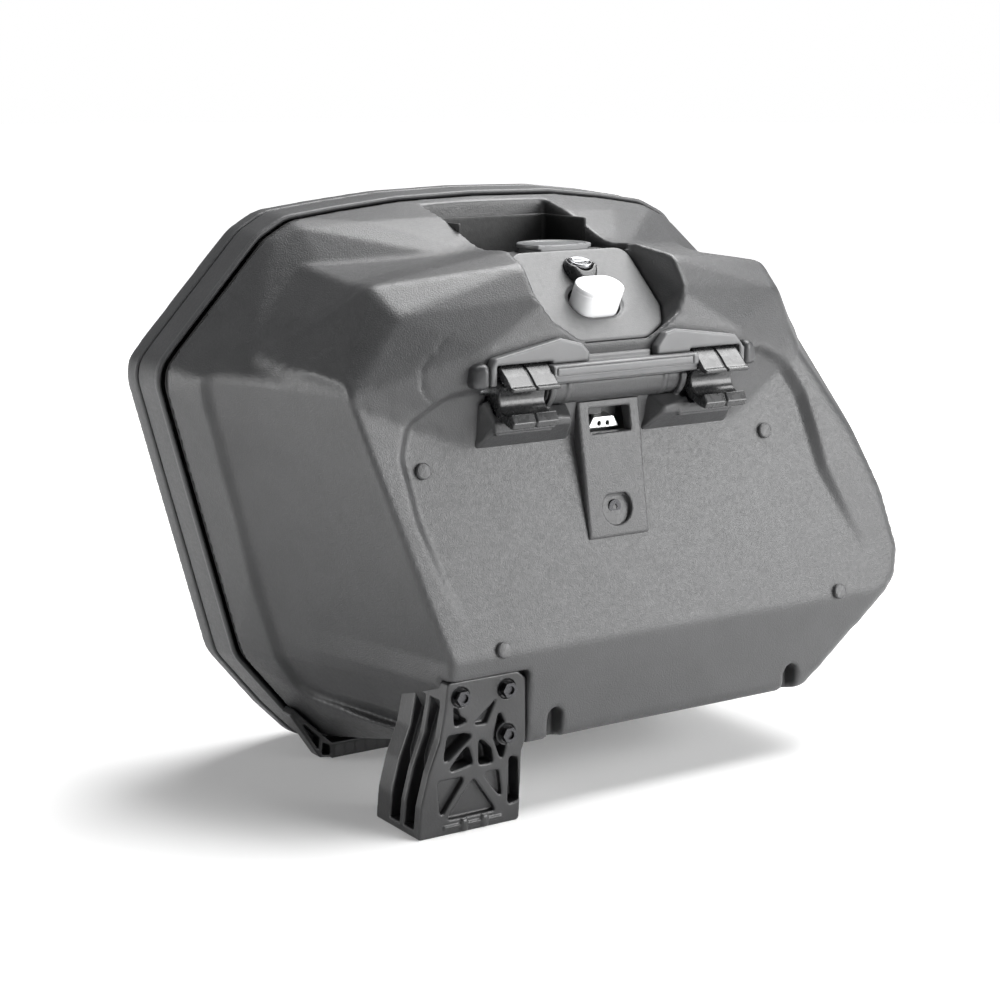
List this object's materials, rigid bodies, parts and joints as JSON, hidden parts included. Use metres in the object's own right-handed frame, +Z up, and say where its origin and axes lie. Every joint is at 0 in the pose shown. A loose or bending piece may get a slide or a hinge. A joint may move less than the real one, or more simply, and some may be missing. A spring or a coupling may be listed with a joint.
{
  "type": "motorcycle saddlebag",
  "caption": "Hard plastic motorcycle side case with bottom-hinged lid, carry handle, key lock with release button, clamping hooks and a ribbed support foot.",
  "frame": {"origin": "centre of the case's footprint box on the floor it stands on", "axes": "+X along the case, -Y towards the bike, +Y towards the lid, +Z up"},
  "size_m": [0.5219, 0.2688, 0.409],
  "materials": {
    "shell_plastic": "fine moulded grain, charcoal black",
    "dark_plastic": "satin black",
    "rubber_black": "soft matte",
    "trim_plastic": "smooth satin grey",
    "jaw_plastic": "smooth, slightly glossy",
    "foot_plastic": "glass-filled nylon, slightly glossy",
    "button_silver": "bright silver",
    "steel": "zinc plated",
    "black_steel": "black oxide",
    "lock_chrome": "polished"
  },
  "bodies": {
    "root": {"inner_shell": "shell_plastic", "handle_pocket": "dark_plastic", "carry_handle": "shell_plastic", "gasket": "rubber_black", "hinge_rail": "dark_plastic", "hinge_pin": "steel", "lock_cover": "shell_plastic", "handle_disc": "trim_plastic", "lock_boss": "dark_plastic", "button_spring": "steel", "trim_plate": "trim_plastic", "cross_bar": "trim_plastic", "plain_strip": "trim_plastic", "shaft_tube": "shell_plastic", "upper_jaw_left": "jaw_plastic", "upper_jaw_right": "jaw_plastic", "hook_housing_left": "shell_plastic", "hook_housing_right": "shell_plastic", "end_cap_left": "dark_plastic", "end_cap_right": "dark_plastic", "channel_cover": "trim_plastic", "channel_screw": "steel", "panel_pads": "rubber_black", "support_foot": "foot_plastic", "foot_bolts": "steel", "foot_nuts": "black_steel"},
    "lid": {"lid_frame": "shell_plastic", "lid_cover": "shell_plastic", "lid_foot": "dark_plastic", "lid_hinge_leaf": "dark_plastic", "lid_striker": "steel"},
    "key": {"key_barrel": "lock_chrome"},
    "button": {"push_button": "button_silver"},
    "claws": {"claw_shaft": "steel", "lower_claw_left": "jaw_plastic", "lower_claw_right": "jaw_plastic"},
    "catch": {"catch_slider": "dark_plastic", "catch_tongue": "steel"},
    "latch": {"lid_latch": "dark_plastic"}
  },
  "joints": [
    {"name": "lid_hinge", "type": "hinge", "parent": "root", "child": "lid", "pos_m": [0, 0.071, 0.006], "axis": [-1, 0, 0], "range_deg": [0, 60]},
    {"name": "key_turn", "type": "hinge", "parent": "root", "child": "key", "pos_m": [0, -0.06412, 0.35937], "axis": [0, -0.2924, 0.9563], "range_deg": [0, 90]},
    {"name": "button_press", "type": "slide", "parent": "root", "child": "button", "axis": [0, 0.6946, -0.7194], "range_m": [0, 0.006], "stiffness_N_per_m": 400, "deforming": ["button_spring"]},
    {"name": "claw_open", "type": "hinge", "parent": "root", "child": "claws", "pos_m": [0, -0.097, 0.29], "axis": [1, 0, 0], "range_deg": [0, 20.5]},
    {"name": "catch_slide", "type": "slide", "parent": "root", "child": "catch", "axis": [0, 0, -1], "range_m": [0, 0.005]},
    {"name": "latch_release", "type": "hinge", "parent": "root", "child": "latch", "pos_m": [0, 0.064, 0.38], "axis": [1, 0, 0], "range_deg": [0, 12], "stiffness_Nm_per_rad": 0.2}
  ],
  "couplings": [
    {"joint": "claw_open", "follows": "button_press", "rad_per_m": 58.178},
    {"joint": "catch_slide", "follows": "button_press", "ratio": 0.8}
  ]
}
